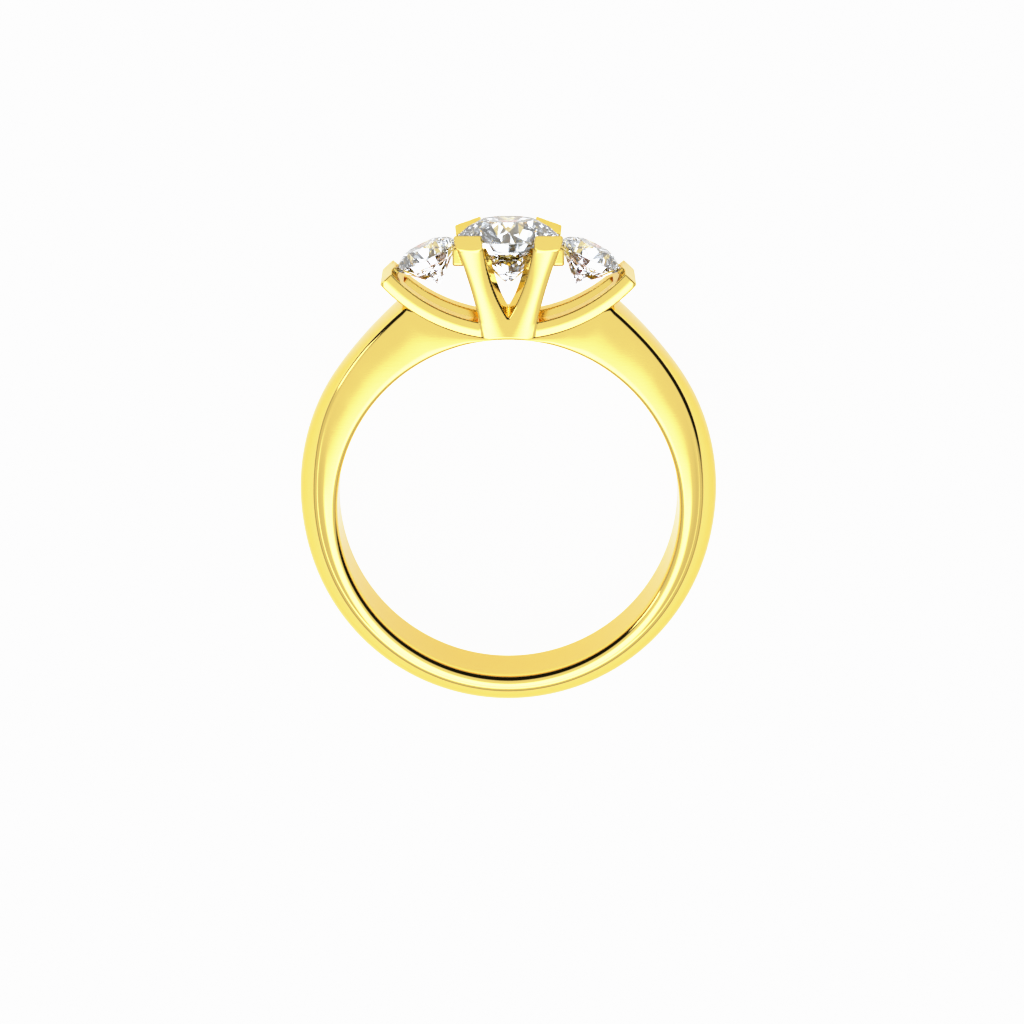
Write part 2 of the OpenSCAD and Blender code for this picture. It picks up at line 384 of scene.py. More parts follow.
@dataclass
class Shank:
    """The tapered band with flat sides and a domed outside, made by Geometry Nodes."""

    hole_radius: float = 8.5
    half_width: float = 2.45
    inner_round: float = 0.42
    inner_thinning: float = 0.75
    outer_round: float = 0.34
    outer_least: float = 0.1
    dome_start: float = 25.0
    rail_centre: float = 17.05
    rail_radius: float = 8.55
    thin_from: float = 0.5
    join_run: float = 0.15
    thinnest: float = 0.03
    merge: float = 0.0005
    stations: int = 256
    curve_points: int = 37
    last_angle: float = 179.999
    # Stretches of a section from the wall's middle to the crest, and their steps
    stretches: tuple[tuple[str, int], ...] = (
        ("wall", 8), ("foot", 8), ("side", 10), ("edge", 8), ("dome", 34))
    # Angle from the bottom of the ring, height of the flat side, height of the crest
    rows: tuple[Triple, ...] = (
        (0, 0.74, 1.62), (45, 0.78, 1.68), (80, 0.95, 1.80), (100, 1.20, 2.00),
        (120, 1.74, 2.24), (135, 2.14, 2.38), (145, 2.46, 2.60), (153, 2.80, 2.88),
        (160, 3.10, 3.16), (180, 3.10, 3.16))
    # Angle from the bottom, and how much the flat side falls back over its height
    belly_rows: tuple[Pair, ...] = (
        (0, 0.02), (45, 0.03), (80, 0.09), (100, 0.08), (120, 0.04), (135, 0.02), (180, 0.01))

    @property
    def full_height(self) -> float:
        """Greatest height in the band's table."""
        return max(row[2] for row in self.rows)

    def sizes(self) -> dict[str, float]:
        """Sizes that the tree takes as inputs, in millimetres, by their names in the rules."""
        return {name: getattr(self, name) for name in (
            "hole_radius", "half_width", "inner_round", "outer_round", "full_height", "rail_centre",
            "rail_radius", "thin_from", "join_run", "thinnest")}

    def half_section(self) -> int:
        """Steps from the wall's middle to the crest."""
        return sum(count for _, count in self.stretches)

    def belly(self, angle: float) -> float:
        """How much the flat side falls back at its outer edge, as a part of its height."""
        return float(np.interp(angle, *zip(*self.belly_rows)))

    def height(self, angle: float, column: int) -> float:
        """Height of the band over the finger hole, by the same cubic as the part's source.

        Args:
            angle: Angle from the bottom of the ring, in degrees.
            column: 1 for the flat side, 2 for the crest.

        Returns:
            The height in millimetres.
        """
        at, high = [row[0] for row in self.rows], [row[column] for row in self.rows]
        slopes = [0.0, *((high[k + 1] - high[k - 1]) / (at[k + 1] - at[k - 1])
                         for k in range(1, len(at) - 1)), 0.0]
        i = max(k for k in range(len(at) - 1) if at[k] <= angle)
        step = at[i + 1] - at[i]
        t = (angle - at[i]) / step
        ease = t * t * (3 - 2 * t)
        bend = step * t * (1 - t) * ((1 - t) * slopes[i] - t * slopes[i + 1])
        return high[i] * (1 - ease) + high[i + 1] * ease + bend

    def numbers(self) -> dict[str, Any]:
        """Numbers that the rules name.

        Returns:
            The fields and more numbers by name, with the gain and start of each stretch.
        """
        start = radians(self.dome_start)
        found = {**vars(self), "pi": pi, "tau": tau, "quarter": pi / 2, "start": start,
                 "start_tan": tan(start), "start_rise": cos(start) / (1 - sin(start))}
        done, total = 0, self.half_section()
        for name, count in self.stretches:
            since, to = done / total, (done + count) / total
            found |= {f"{name}_gain": 1 / (to - since), f"{name}_from": -since / (to - since)}
            done += count
        return found

    def tree(self) -> NodeTree:
        """Build the node tree that bends a grid into the band.

        Returns:
            The tree, whose inputs are the band's sizes.
        """
        tree = bpy.data.node_groups.new("tapered_band", "GeometryNodeTree")
        tree.interface.new_socket("Geometry", in_out="OUTPUT", socket_type="NodeSocketGeometry")
        kinds = dict.fromkeys(self.sizes(), "Float")
        kinds |= {"stations": "Int", "section_points": "Int", "material": "Material"}
        for name, kind in kinds.items():
            tree.interface.new_socket(name.replace("_", " ").capitalize(), in_out="INPUT",
                                      socket_type=f"NodeSocket{kind}")
        given = dict(zip(kinds, add_node(tree, "NodeGroupInput").outputs))
        shape = add_node(tree, "GeometryNodeMeshGrid", {
            "Vertices X": given["stations"], "Vertices Y": given["section_points"]})
        place = add_node(tree, "ShaderNodeSeparateXYZ",
                         [add_node(tree, "GeometryNodeInputPosition")]).outputs
        known: dict[str, Any] = {"x": place["X"], "y": place["Y"], **self.numbers(), **given}
        run_rules(tree, known, BAND_WAY)
        parts = [i / (self.curve_points - 1) for i in range(self.curve_points)]
        for name, rule in (("side_part", lambda angle: self.height(angle, 1) / self.full_height),
                           ("crest_part", lambda angle: self.height(angle, 2) / self.full_height),
                           ("belly", self.belly)):
            known[name] = add_node(tree, "ShaderNodeFloatCurve", {"Value": known["part"]})
            fill_curve(known[name].mapping, 0, [
                (part, rule(min(180 * part, self.last_angle))) for part in parts])
        run_rules(tree, known, BAND_SHAPE)
        spot = add_node(tree, "ShaderNodeCombineXYZ", [known["px"], known["py"], known["z"]])
        for kind, inputs in (("SetPosition", {"Position": spot}),
                             ("MergeByDistance", {"Distance": self.merge * MM}),
                             ("SetShadeSmooth", {}), ("RealizeInstances", {}),
                             ("SetMaterial", {"Material": given["material"]})):
            shape = add_node(tree, f"GeometryNode{kind}", {"Geometry": shape, **inputs})
        add_node(tree, "NodeGroupOutput", {"Geometry": shape})
        return tree

    def build(self, gold: Material) -> Object:
        """Make the band and put it into the scene.

        Args:
            gold: The band's material.

        Returns:
            The piece.
        """
        holder = bpy.data.objects.new("shank_nodes", bpy.data.meshes.new("shank_nodes"))
        bpy.context.scene.collection.objects.link(holder)
        modifier = holder.modifiers.new("tapered_band", "NODES")
        modifier.node_group = self.tree()
        values = [size * MM for size in self.sizes().values()]
        values += [self.stations + 1, 2 * self.half_section() + 1, gold]
        sockets = modifier.node_group.interface.items_tree
        for item, value in zip([item for item in sockets if item.in_out == "INPUT"], values):
            modifier[item.identifier] = value
        seen = holder.evaluated_get(bpy.context.evaluated_depsgraph_get())
        mesh = bpy.data.meshes.new_from_object(seen)
        holder.modifiers.remove(modifier)
        bpy.data.objects.remove(holder)
        return add_piece(mesh, "shank", "ring_mount")


def round_both(radius: float, first: Array, *others: Array) -> Array:
    """Distance to what shapes share, with the edges between them rounded.

    Args:
        radius: Radius of the edges.
        first: Signed distances to the first shape.
        others: Signed distances to the other shapes, which are joined in turn.

    Returns:
        Signed distances.
    """
    for other in others:
        corner = np.hypot(np.maximum(radius + first, 0), np.maximum(radius + other, 0))
        first = np.minimum(-radius, np.maximum(first, other)) + corner
    return first


def round_either(radius: float, *shapes: Array) -> Array:
    """Distance to shapes soldered together, with fillets of a radius between them."""
    return -round_both(radius, *(-shape for shape in shapes))


def arc_side(x: Array, y: Array, arc: Sequence[Pair], inside: Pair) -> Array:
    """Distance to a circle through three points.

    Args:
        x, y: Places.
        arc: The three points.
        inside: A point on the side that counts as inside.

    Returns:
        Distances, negative on the inside.
    """
    (ax, ay), (bx, by), (cx, cy) = arc
    d = 2 * (ax * (by - cy) + bx * (cy - ay) + cx * (ay - by))
    aa, bb, cc = ax * ax + ay * ay, bx * bx + by * by, cx * cx + cy * cy
    ux = (aa * (by - cy) + bb * (cy - ay) + cc * (ay - by)) / d
    uy = (aa * (cx - bx) + bb * (ax - cx) + cc * (bx - ax)) / d
    radius = hypot(ax - ux, ay - uy)
    side = -1.0 if hypot(inside[0] - ux, inside[1] - uy) > radius else 1.0
    return side * (np.hypot(x - ux, y - uy) - radius)


def polygon_side(x: Array, y: Array, loop: Sequence[Pair]) -> Array:
    """Distance to a closed outline.

    Args:
        x, y: Places.
        loop: The outline's corners.

    Returns:
        Distances, negative inside the outline.
    """
    best = np.full(x.shape, np.inf)
    inside = np.zeros(x.shape, bool)
    for (ax, ay), (bx, by) in zip(loop, [*loop[1:], loop[0]]):
        ex, ey = bx - ax, by - ay
        t = np.clip(((x - ax) * ex + (y - ay) * ey) / (ex * ex + ey * ey), 0, 1)
        best = np.minimum(best, (x - ax - ex * t) ** 2 + (y - ay - ey * t) ** 2)
        if ey:
            inside ^= ((ay > y) != (by > y)) & (x < ex * (y - ay) / ey + ax)
    return np.sqrt(best) * np.where(inside, -1, 1)


def plan_side(x: Array, z: Array, half: Pair, corner: float) -> Array:
    """Distance to a rectangle with rounded corners.

    Args:
        x, z: Places.
        half: The rectangle's half sizes.
        corner: Radius of its corners.

    Returns:
        Distances, negative inside the rectangle.
    """
    dx, dz = np.abs(x) - half[0] + corner, np.abs(z) - half[1] + corner
    outside = np.hypot(np.maximum(dx, 0), np.maximum(dz, 0))
    return outside + np.minimum(np.maximum(dx, dz), 0) - corner


def surface_net(field: Array, corner: Array, step: float) -> tuple[Array, Array]:
    """Net a sampled distance field with quads.

    Args:
        field: Distances on a grid.
        corner: Place of the grid's first point.
        step: Spacing of the grid.

    Returns:
        The net's points and its quads, which face outwards.
    """
    cells = tuple(n - 1 for n in field.shape)
    ids, spots, quads = [], [], []
    for axis in range(3):
        low, high = (np.take(field, np.arange(cells[axis]) + k, axis) for k in (0, 1))
        index = np.argwhere((low < 0) != (high < 0))
        at = tuple(index.T)
        spot = index.astype(float)
        spot[:, axis] += low[at] / (low[at] - high[at])
        b, c = (axis + 1) % 3, (axis + 2) % 3
        ring = []
        for back_b, back_c in ((0, 0), (1, 0), (1, 1), (0, 1)):
            cell = index.copy()
            cell[:, b] -= back_b
            cell[:, c] -= back_c
            ring.append(np.ravel_multi_index(tuple(cell.T), cells))
            spots.append(spot)
        ids.extend(ring)
        quad = np.stack(ring, 1)
        quads.append(np.where((low[at] < 0)[:, None], quad, quad[:, ::-1]))
    cell_ids, spot = np.concatenate(ids), np.concatenate(spots)
    used, which = np.unique(cell_ids, return_inverse=True)
    count = np.bincount(which)
    points = np.stack([np.bincount(which, spot[:, k]) / count for k in range(3)], 1)
    return corner + points * step, np.searchsorted(used, np.concatenate(quads))


@dataclass
class SettingHead:
    """The soldered head: two V claws, filed tips, rails with end bars, cross bars and a foot.

    Its methods take places as x across, y upwards or h over the finger hole, and z along the
    finger. They give signed distances, which are negative in the metal.
    """

    stones: Sequence["Brilliant"]
    bore_r: float = 8.5
    edge: float = 0.11
    rail_edge: float = 0.06
    solder: float = 0.07
    seat_edge: float = 0.03
    # Rails: middle of their circle and its radii, their ends in degrees, their outline from
    # above, and the openings between the end bars
    rail_centre_y: float = 17.05
    rail_r: Pair = (7.82, 8.6)
    rail_end: float = 47.5
    rail_plan: Pair = (6.37, 2.4)
    rail_corner: float = 0.25
    rail_crown: float = 0.03
    rail_crown_end: float = 1.3
    rail_taper: float = 12.0
    opening_end: float = 41.3
    opening_z: float = 1.0
    opening_corner: float = 0.35
    lip_r: float = 7.62
    lip_from: float = 44.7
    lip_z: float = 0.9
    # V claws: arcs of one leg as x and height over the finger hole, and faces in z
    leg_outer: tuple[Pair, ...] = ((1.20, -0.2), (1.69, 1.95), (2.52, 4.52))
    leg_inner: tuple[Pair, ...] = ((0.06, 1.02), (0.86, 2.80), (1.24, 4.52))
    leg_middle: Pair = (1.24, 1.84)
    leg_top: float = 4.52
    leg_z: Pair = (1.45, 2.55)
    leg_lean: float = 1.8
    leg_edge: float = 0.07
    # Crown across a leg: its height, how it joins in the V, its least width and its end
    leg_crown: float = 0.06
    crown_join: float = 0.2
    crown_least: float = 0.2
    crown_end: float = 1.2
    notch_taper: float = 0.32
    notch_round: float = 0.05
    foot_top: float = 0.95
    foot_z: float = 2.35
    # Claw tips: outline seen from the front before its corners are rounded, and their planes
    tip_loop: tuple[Pair, ...] = (
        (1.46, 4.62), (2.40, 4.62), (2.47, 4.92), (2.43, 5.6), (1.64, 5.6), (1.46, 4.80))
    tip_round: float = 0.2
    tip_back_z: float = 1.35
    tip_face_h: float = 4.62
    tip_face_lean: float = 2.5
    tip_top: Pair = (2.1, 5.2)
    tip_fall_out: Pair = (0.0, 20.0)
    tip_fall_in: float = 15.0
    tip_inner_r: float = 2.3
    tip_edge: float = 0.035
    tip_solder: float = 0.03
    # Cross bars
    bar_x: Pair = (2.16, 2.76)
    bar_h: Pair = (3.58, 4.5)
    bar_z: float = 1.9
    # Net: its spacing and reach, and how its points are moved onto the metal
    grid: float = 0.06
    low_y: float = 8.3
    reach: Triple = (6.6, 14.0, 2.76)
    rounds: int = 2
    slope_reach: float = 0.004
    least_slope: float = 0.25
    normal_reach: float = 0.02

    def distance(self, points: Array) -> Array:
        """Distance to the head's metal.

        Args:
            points: Places in millimetres, one a row.

        Returns:
            Signed distances.
        """
        x, y, z = np.abs(points[:, 0]), points[:, 1], np.abs(points[:, 2])
        behind = points[:, 2] < 0
        h = y - self.bore_r
        leg = self.leg_outline(x, h, np.where(behind, self.leg_z[1], z))
        claw = round_either(self.tip_solder, self.claw(leg, x, h, z), self.tip(x, h, z, behind))
        foot = round_both(self.edge, np.maximum(leg, h - self.foot_top), z - self.foot_z)
        metal = round_either(self.solder, claw, self.cross_bar(x, h, z), self.rails(x, y, z), foot)
        seats = [-stone.seat_side(x, y, z) for stone in self.stones]
        metal = round_both(self.seat_edge, metal, *seats)
        return round_both(self.edge, metal, self.bore_r - np.hypot(x, y))

    def leg_outline(self, x: Array, h: Array, z: Array) -> Array:
        """Distance to a V leg seen from the front, with the notch narrower at its inward end.

        Args:
            x, h, z: Places.

        Returns:
            Signed distances.
        """
        inward = np.clip((self.leg_z[1] - z) / (self.leg_z[1] - self.leg_z[0]), 0, 1)
        soft_x = np.hypot(x, self.notch_round) + self.notch_taper * inward
        outer = arc_side(x, h, self.leg_outer, self.leg_middle)
        inner = arc_side(soft_x, h, self.leg_inner, self.leg_middle)
        return np.maximum(round_both(self.leg_edge, outer, inner), h - self.leg_top)

    def claw(self, leg: Array, x: Array, h: Array, z: Array) -> Array:
        """Distance to a V claw, whose front is crowned across each leg.

        Args:
            leg: Distances to the V seen from the front.
            x, h, z: Places.

        Returns:
            Signed distances.
        """
        joined_x = np.hypot(x, self.crown_join)
        outer, inner = (arc_side(joined_x, h, arc, self.leg_middle)
                        for arc in (self.leg_outer, self.leg_inner))
        across = (outer - inner) / np.maximum(-outer - inner, self.crown_least)
        across = np.clip(across, -self.crown_end, self.crown_end)
        front = z - self.leg_z[1] + self.leg_crown * across ** 2
        slope = tan(radians(self.leg_lean)) / (2 * self.leg_top)
        front = front + (self.leg_top ** 2 - np.clip(h, 0, self.leg_top) ** 2) * slope
        return round_both(self.edge, round_both(self.leg_edge, leg, front), self.leg_z[0] - z)

    def tip(self, x: Array, h: Array, z: Array, behind: Array) -> Array:
        """Distance to a claw tip: a cap filed flat outside and burnished down to the stone.

        Args:
            x, h, z: Places.
            behind: Whether a place is on the back claws, whose tops fall outwards more.

        Returns:
            Signed distances.
        """
        front = self.leg_z[1]
        block = polygon_side(x, h, self.tip_loop) - self.tip_round
        slab = np.maximum(z - front, self.tip_back_z - z)
        lean, fall = radians(self.tip_face_lean), radians(self.tip_fall_in)
        face = (h - self.tip_face_h) * sin(lean) + (z - front) * cos(lean)
        out = np.radians(np.where(behind, self.tip_fall_out[1], self.tip_fall_out[0]))
        top = ((x - self.tip_top[0]) * cos(fall) * np.sin(out)
               + (h - self.tip_top[1]) * cos(fall) * np.cos(out)
               - (z - front) * sin(fall))
        return round_both(self.tip_edge, block, slab, face, top, self.tip_inner_r - np.hypot(x, z))

    def cross_bar(self, x: Array, h: Array, z: Array) -> Array:
        """Distance to the bars from V to V beside the centre stone."""
        sides = [np.maximum(low - at, at - high)
                 for at, (low, high) in ((x, self.bar_x), (h, self.bar_h))]
        return round_both(self.edge, *sides, z - self.bar_z)

    def rails(self, x: Array, y: Array, z: Array) -> Array:
        """Distance to both rails with their end bars and lips.

        Args:
            x, y, z: Places.

        Returns:
            Signed distances.
        """
        dy = self.rail_centre_y - y
        r = np.hypot(x, dy)
        low, high = self.rail_r
        middle, half = (low + high) / 2, (high - low) / 2
        crown = np.clip((r - middle) / half, -self.rail_crown_end, self.rail_crown_end)
        plan = plan_side(x, z + self.rail_crown * crown ** 2, self.rail_plan, self.rail_corner)
        angle = np.arctan2(x, np.maximum(dy, TINY))
        tapered_z = np.abs(z) - (high - r) * tan(radians(self.rail_taper))
        opening = plan_side(middle * angle, np.maximum(tapered_z, 0),
                            (middle * radians(self.opening_end), self.opening_z),
                            self.opening_corner)
        rails = round_both(self.rail_edge, np.abs(r - middle) - half, plan, -opening)
        lip = round_both(self.rail_edge, np.maximum(self.lip_r - r, r - middle),
                         middle * (radians(self.lip_from) - angle), z - self.lip_z)
        # Rails and lips are trimmed together, so that no step is left between their ends
        end = r * np.sin(angle - radians(self.rail_end))
        return round_both(self.rail_edge, round_either(self.solder, rails, lip), end)

    def slope(self, points: Array, reach: float) -> Array:
        """Gradient of the distance, from two samples on each axis at a reach from each point."""
        return np.stack([(self.distance(points + step) - self.distance(points - step)) / (2 * reach)
                         for step in np.eye(3) * reach], 1)

    def settle(self, points: Array) -> Array:
        """Move points onto the metal's surface.

        Args:
            points: Places near the surface.

        Returns:
            Places on the surface.
        """
        for _ in range(self.rounds):
            away = self.slope(points, self.slope_reach)
            size = np.maximum((away ** 2).sum(1), self.least_slope)
            move = np.clip(self.distance(points) / size, -self.grid, self.grid)
            points = points - away * move[:, None]
        return points

    @staticmethod
    def relax(points: Array, quads: Array) -> Array:
        """Move each point half way to the middle of its neighbours.

        Args:
            points: The net's points.
            quads: The net's quads.

        Returns:
            The moved points.
        """
        pairs = np.concatenate([quads[:, [k, (k + 1) % 4]] for k in range(4)])
        count = np.bincount(pairs[:, 0], minlength=len(points))
        sums = np.stack([np.bincount(pairs[:, 0], points[pairs[:, 1], k], len(points))
                         for k in range(3)], 1)
        return 0.5 * points + 0.5 * sums / np.maximum(count, 1)[:, None]

    def build(self, gold: Material) -> Object:
        """Net the head's surface and put it into the scene.

        Args:
            gold: The head's material.

        Returns:
            The piece.
        """
        # The right half is sampled, from half a step beside the middle, and mirrored
        xs, zs = (np.arange(0.5, self.reach[k] / self.grid) * self.grid for k in (0, 2))
        ys = np.arange(self.low_y, self.reach[1], self.grid)
        zs = np.concatenate([-zs[::-1], zs])
        samples = np.stack(np.meshgrid(xs, ys, zs, indexing="ij"), -1).reshape(-1, 3)
        field = self.distance(samples).reshape(len(xs), len(ys), len(zs))
        field = np.concatenate([field[::-1], field], 0)
        points, quads = surface_net(field, np.array([-xs[-1], ys[0], zs[0]]), self.grid)
        points = self.settle(points)
        for _ in range(self.rounds):
            points = self.settle(self.relax(points, quads))
        normals = self.slope(points, self.normal_reach)
        normals /= np.maximum(np.linalg.norm(normals, axis=1), TINY)[:, None]
        mesh = bpy.data.meshes.new("setting_head")
        mesh.from_pydata((points * MM).tolist(), [], quads.tolist())
        mesh.polygons.foreach_set("use_smooth", [True] * len(mesh.polygons))
        mesh.normals_split_custom_set_from_vertices(normals.tolist())
        mesh.materials.append(gold)
        return add_piece(mesh, "setting_head", "ring_mount")


class Seat(Enum):
    """Where a stone sits, by the CAD node that it stands for."""

    CENTRE = "centre_stone"
    LEFT = "side_stone_left"
    RIGHT = "side_stone_right"


@dataclass
class Brilliant:
    """A round brilliant, cut plane by plane from a round blank as on a lap."""

    seat: Seat
    # Width of the girdle, the table as a part of it, the girdle's middle in x and y, and the
    # stone's lean outwards and turn about its own axis in degrees
    width: float
    table: float
    middle: Pair
    lean: float
    turn: float
    crown_angle: float = 34.5
    pavilion_angle: float = 43.5
    girdle: float = 0.022
    star: float = 0.45
    lower_half: float = 0.22
    seat_gap: float = 0.03
    blank_sides: int = 96
    # The blank's length in widths, the reach that merges corners, and the tilt of a girdle face
    blank_length: float = 4.0
    merge: float = 1e-4
    girdle_tilt: float = 0.02

    def heights(self) -> dict[str, Pair]:
        """Radius and height of each ring of corners, from the middle of the girdle.

        Returns:
            The rings by name, in millimetres.
        """
        r = self.width / 2
        half = r * self.girdle
        crown_slope, pavilion_slope = (
            tan(radians(angle)) for angle in (self.crown_angle, self.pavilion_angle))
        crown, depth = r * (1 - self.table) * crown_slope, r * pavilion_slope
        eighth = cos(pi / 8)
        star_r = r * (self.table + (1 - self.table) * self.star) / eighth
        star_h = crown - (star_r * eighth - r * self.table) * crown_slope
        low_r = r * self.lower_half
        low_h = depth - low_r * eighth * pavilion_slope
        return {"table": (r * self.table, crown + half), "star": (star_r, star_h + half),
                "upper": (r, half), "lower": (r, -half),
                "low": (low_r, -low_h - half), "culet": (0.0, -depth - half)}

    def seat_side(self, x: Array, y: Array, z: Array) -> Array:
        """Distance to the room that the stone takes in the metal, on the ring's right side.

        Args:
            x, y, z: Places, from the ring's middle.

        Returns:
            Signed distances, negative in the room.
        """
        lean = radians(self.lean)
        dx, dy = x - self.middle[0], y - self.middle[1]
        along = dx * sin(lean) + dy * cos(lean)
        off = np.hypot(dx * cos(lean) - dy * sin(lean), z)
        rings = self.heights()
        right = []
        for name, grow in (("low", -1), ("lower", -1), ("upper", 1), ("star", 1), ("table", 1)):
            r, h = rings[name]
            wide = self.seat_gap if name in ("lower", "upper") else 0.0
            right.append((r + wide, h + grow * self.seat_gap))
        left = [(-r, h) for r, h in reversed(right)]
        return polygon_side(off, along, [(0.0, rings["culet"][1] - self.seat_gap), *right, *left])

    def facets(self) -> list[tuple[Vector, Vector, Vector]]:
        """Three corners of each facet's plane: table, stars, bezels, halves and mains.

        Returns:
            The corners of each plane, in millimetres about the stone's own axis.
        """
        rings = self.heights()

        def at(ring: str, eighths: float) -> Vector:
            """Corner of a ring at a number of eighth turns."""
            r, h = rings[ring]
            angle = tau * eighths / 8
            return Vector((r * cos(angle), r * sin(angle), h))

        planes = [(at("table", 0), at("table", 1), at("table", 2))]
        for i in range(8):
            star, low, mid = at("star", i + 0.5), at("low", i + 0.5), at("upper", i + 0.5)
            planes += [
                (at("table", i), at("table", i + 1), star), (at("table", i), star, at("upper", i)),
                (star, at("upper", i), mid), (star, mid, at("upper", i + 1)),
                (low, at("lower", i), at("lower", i + 0.5)),
                (low, at("lower", i + 0.5), at("lower", i + 1)),
                (low, at("culet", 0), at("lower", i))]
        return planes

    def place(self) -> Matrix:
        """Where the stone stands in the ring, with its axis leaning outwards."""
        side = -1 if self.seat is Seat.LEFT else 1
        return (Matrix.Translation(Vector((side * self.middle[0], self.middle[1], 0)))
                @ Matrix.Rotation(-side * radians(self.lean), 4, "Z")
                @ Matrix.Rotation(-pi / 2, 4, "X")
                @ Matrix.Rotation(radians(self.turn), 4, "Z"))

    def build(self, polished: Material, bruted: Material) -> Object:
        """Cut the stone and put it into the scene.

        Args:
            polished: Material of the facets.
            bruted: Material of the girdle.

        Returns:
            The piece.
        """
        cut = bmesh.new()
        bmesh.ops.create_cone(cut, cap_ends=True, segments=self.blank_sides,
                              radius1=self.width / 2, radius2=self.width / 2,
                              depth=self.blank_length * self.width)
        for a, b, c in self.facets():
            normal = (b - a).cross(c - a).normalized()
            if normal.dot(a) < 0:
                normal.negate()
            done = bmesh.ops.bisect_plane(
                cut, geom=[*cut.verts, *cut.edges, *cut.faces], dist=TINY,
                plane_co=a, plane_no=normal, clear_outer=True)
            rim = [e for e in done["geom_cut"] if isinstance(e, bmesh.types.BMEdge)]
            if len(rim) > 2:
                bmesh.ops.contextual_create(cut, geom=rim)
        bmesh.ops.remove_doubles(cut, verts=cut.verts, dist=self.merge)
        bmesh.ops.dissolve_degenerate(cut, edges=cut.edges, dist=self.merge)
        bmesh.ops.recalc_face_normals(cut, faces=cut.faces)
        for face in cut.faces:
            face.material_index = 1 if abs(face.normal.z) < self.girdle_tilt else 0
        cut.transform(Matrix.Scale(MM, 4) @ self.place())
        mesh = bpy.data.meshes.new(self.seat.value)
        cut.to_mesh(mesh)
        cut.free()
        mesh.materials.append(polished)
        mesh.materials.append(bruted)
        name = self.seat.value.replace("_stone", "_brilliant")
        return add_piece(mesh, name, self.seat.value)


# Level of light from a direction, whose part upwards is up
STUDIO_LIGHT = """
# Flag: how far it reaches round, its soft upper and lower edges, and its level
flat = up * up * -1 + flat_most sqrt
reach = along / flat soft flag_round_0 flag_round_1
top = reach ramp 0 1 flag_top_0 flag_top_1
top_soft = top - flag_soft
foot = reach ramp 0 1 flag_foot_0 flag_foot_1
foot_soft = foot + flag_soft
dark = reach ramp 0 1 flag_level_0 flag_level_1
below = up soft top_soft top 1 0
flag = up soft foot foot_soft * below
room = flag ramp 0 1 walls dark
# Bright patch between its near and far edge and its sides
lean = y * -1 atan2 up
far = lean soft patch_far_0 patch_far_1 1 0
wide = x atan2 up - patch_x abs soft patch_wide_0 patch_wide_1 1 0
patch = lean soft patch_near_0 patch_near_1 * patch_level * far * wide
total = room + patch
# Cards that light is seen through
through = cards ramp card_span_0 card_span_1 card_level_0 card_level_1 * total
"""


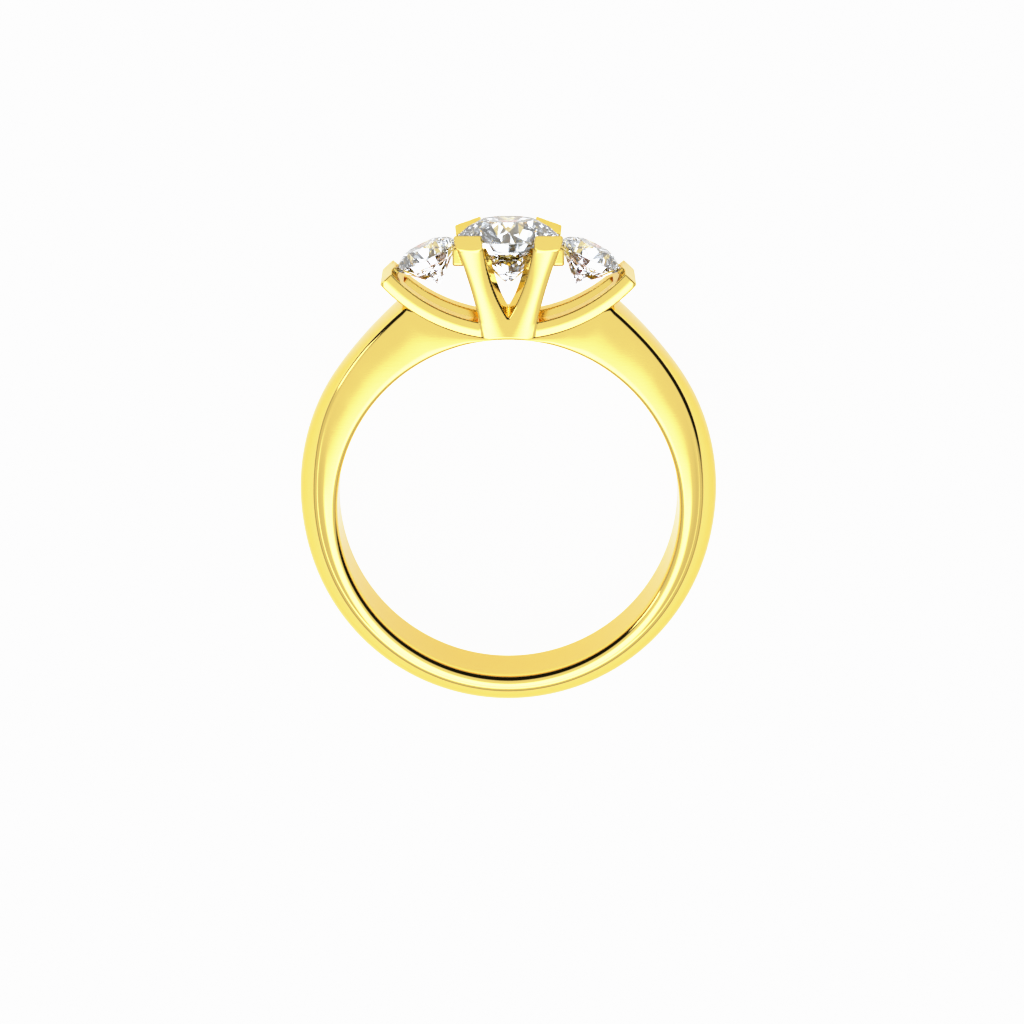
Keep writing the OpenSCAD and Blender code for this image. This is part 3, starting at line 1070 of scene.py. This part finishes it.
@dataclass
class Studio:
    """The camera over the ring, the paper under it and the soft light round it."""

    floor_z: float = -2.55
    floor_half: float = 700.0
    elevation: float = 11.5
    distance: float = 265.0
    lens: float = 186.1
    sensor: float = 36.0
    clip: Pair = (10.0, 5000.0)
    aim: Pair = (0.18, -0.64)
    backdrop: str = "#F4F4F3"
    # Level of the room by height: 0 at the horizon, 1 straight up
    wall_levels: tuple[Pair, ...] = (
        (0.0, 0.98), (0.4, 0.86), (0.8, 0.78), (0.92, 0.9), (1.0, 1.0))
    # White and black cards that the stones mirror
    card_scale: float = 16.0
    card_detail: float = 1.0
    card_span: Pair = (0.465, 0.495)
    card_level: Pair = (0.0, 3.2)
    # Dark flag: the side that it stands on, how far round it reaches, and, away from that
    # side and on it, the heights of its upper and lower edges and its level
    flag_side: Triple = (0.26, 0.965, 0.0)
    flag_round: Pair = (0.06, 0.25)
    flag_top: Pair = (0.5, 0.9)
    flag_foot: Pair = (0.1, 0.04)
    flag_level: Pair = (0.5, 0.01)
    flag_soft: float = 0.05
    # Just over 1, so that the flat part of a direction is never 0
    flat_most: float = 1.001
    # Bright patch in front of the ring: the angles of its soft edges from straight up
    patch_near: Pair = (radians(7.5), radians(13.0))
    patch_far: Pair = (radians(26.0), radians(40.0))
    patch_wide: Pair = (radians(10.0), radians(19.0))
    patch_x: float = radians(-2.0)
    patch_level: float = 2.5
    # Levels of light and how they show
    tone: tuple[Pair, ...] = (
        (0.0, 0.0), (0.3, 0.3), (0.6, 0.6), (0.8, 0.78), (0.95, 0.88), (1.2, 0.945), (1.6, 0.97),
        (2.4, 0.99), (4.0, 1.0))
    # Softbox to the left, in metres
    softbox_way: Triple = (-0.75, 0.35, 0.55)
    softbox_far: float = 0.5
    softbox_size: Pair = (0.12, 0.2)
    softbox_level: float = 3.0
    stone_bounces: int = 20
    gold_bounces: int = 12
    brightest_bounce: float = 8.0

    def build(self, paper: Material) -> None:
        """Make the floor, the lights, the world and the camera.

        Args:
            paper: The floor's material.
        """
        self.add_floor(paper)
        self.add_world()
        self.add_softbox()
        self.add_camera()
        self.set_view()

    def add_floor(self, paper: Material) -> None:
        """Lay the paper under the ring.

        Args:
            paper: The paper's material.
        """
        half, z = self.floor_half * MM, self.floor_z * MM
        mesh = bpy.data.meshes.new("paper_floor")
        mesh.from_pydata([(-half, -half, z), (half, -half, z), (half, half, z), (-half, half, z)],
                         [], [(0, 1, 2, 3)])
        mesh.materials.append(paper)
        floor = bpy.data.objects.new("paper_floor", mesh)
        bpy.context.scene.collection.objects.link(floor)
        LOG.info("paper_floor: %g mm square at %g mm", 2 * self.floor_half, self.floor_z)

    def add_world(self) -> None:
        """Light the ring from all round, with a bright patch in front and a dark flag behind."""
        world = bpy.data.worlds.new("studio")
        world.use_nodes = True
        tree = world.node_tree
        tree.nodes.clear()
        way = add_node(tree, "ShaderNodeTexCoord").outputs["Generated"]
        part = add_node(tree, "ShaderNodeSeparateXYZ", [way]).outputs
        along = add_node(tree, "ShaderNodeVectorMath", [way, self.flag_side],
                         operation="DOT_PRODUCT").outputs["Value"]
        walls = add_node(tree, "ShaderNodeFloatCurve", {"Value": part["Z"]})
        fill_curve(walls.mapping, 0, self.wall_levels)
        cards = add_node(tree, "ShaderNodeTexNoise", {
            "Vector": way, "Scale": self.card_scale, "Detail": self.card_detail})
        # The rules name the fields, and each number of a pair by its place in it
        known = {**vars(self), "x": part["X"], "y": part["Y"], "up": part["Z"], "along": along,
                 "walls": walls, "cards": cards}
        for name, value in vars(self).items():
            if isinstance(value, tuple):
                known |= {f"{name}_{i}": number for i, number in enumerate(value)}
        run_rules(tree, known, STUDIO_LIGHT)
        path = add_node(tree, "ShaderNodeLightPath").outputs
        level = add_node(tree, "ShaderNodeMix", {
            0: path["Is Transmission Ray"], 2: known["total"], 3: known["through"]})
        lit = add_node(tree, "ShaderNodeBackground", {
            "Color": (1.0, 1.0, 1.0, 1.0), "Strength": level})
        plain = add_node(tree, "ShaderNodeBackground", {"Color": hex_to_linear(self.backdrop)})
        both = add_node(tree, "ShaderNodeMixShader", [path["Is Camera Ray"], lit, plain])
        add_node(tree, "ShaderNodeOutputWorld", {"Surface": both})
        bpy.context.scene.world = world
        LOG.info("studio: soft light all round, bright patch in front, dark flag behind")

    def add_softbox(self) -> None:
        """Stand a softbox to the left of the ring."""
        data = bpy.data.lights.new("softbox", "AREA")
        data.shape = "RECTANGLE"
        data.size, data.size_y = self.softbox_size
        data.energy = self.softbox_level * pi * data.size * data.size_y
        way = Vector(self.softbox_way).normalized()
        light = bpy.data.objects.new("softbox", data)
        light.location = way * self.softbox_far
        light.rotation_euler = (-way).to_track_quat("-Z", "Y").to_euler()
        light.visible_camera = False
        bpy.context.scene.collection.objects.link(light)
        LOG.info("softbox: %g by %g m", *self.softbox_size)

    def add_camera(self) -> None:
        """Set the camera over the ring at the photograph's angle."""
        e = radians(self.elevation)
        right = Vector((1, 0, 0))
        up = Vector((0, cos(e), -sin(e)))
        back = Vector((0, sin(e), cos(e)))
        spot = right * self.aim[0] + up * self.aim[1] + back * self.distance
        data = bpy.data.cameras.new("camera")
        data.sensor_width, data.lens = self.sensor, self.lens
        data.clip_start, data.clip_end = (at * MM for at in self.clip)
        camera = bpy.data.objects.new("camera", data)
        turned = Matrix((right, up, back)).transposed().to_4x4()
        camera.matrix_world = Matrix.Translation(spot * MM) @ turned
        bpy.context.scene.collection.objects.link(camera)
        bpy.context.scene.camera = camera

    def set_view(self) -> None:
        """Let bright places run out softly to white, and light bounce often in the stones."""
        view, cycles = bpy.context.scene.view_settings, bpy.context.scene.cycles
        view.view_transform = "Standard"
        view.use_curve_mapping = True
        white = self.tone[-1][0]
        view.curve_mapping.white_level = (white, white, white)
        # The mapping's last curve is the one for all three colours together
        fill_curve(view.curve_mapping, 3, [(level / white, shown) for level, shown in self.tone])
        cycles.max_bounces = cycles.transmission_bounces = self.stone_bounces
        cycles.glossy_bounces = self.gold_bounces
        cycles.sample_clamp_indirect = self.brightest_bounce


def main() -> None:
    """Build the ring and its studio piece by piece."""
    logging.basicConfig(level=logging.INFO, format="%(name)s: %(message)s")
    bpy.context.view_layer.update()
    gold = PolishedGold().material()
    polished, bruted = POLISHED_DIAMOND.material(), BRUTED_DIAMOND.material()
    side = {"width": 3.4, "table": 0.57, "middle": (4.06, 12.35), "lean": 26.5, "turn": 0.0}
    centre = Brilliant(
        Seat.CENTRE, width=5.0, table=0.53, middle=(0.0, 13.2875), lean=0.0, turn=22.5)
    sides = [Brilliant(Seat.LEFT, **side), Brilliant(Seat.RIGHT, **side)]
    Shank().build(gold)
    SettingHead([centre, sides[1]]).build(gold)
    for stone in (centre, *sides):
        stone.build(polished, bruted)
    Studio().build(PalePaper().material())


if __name__ == "__main__":
    main()
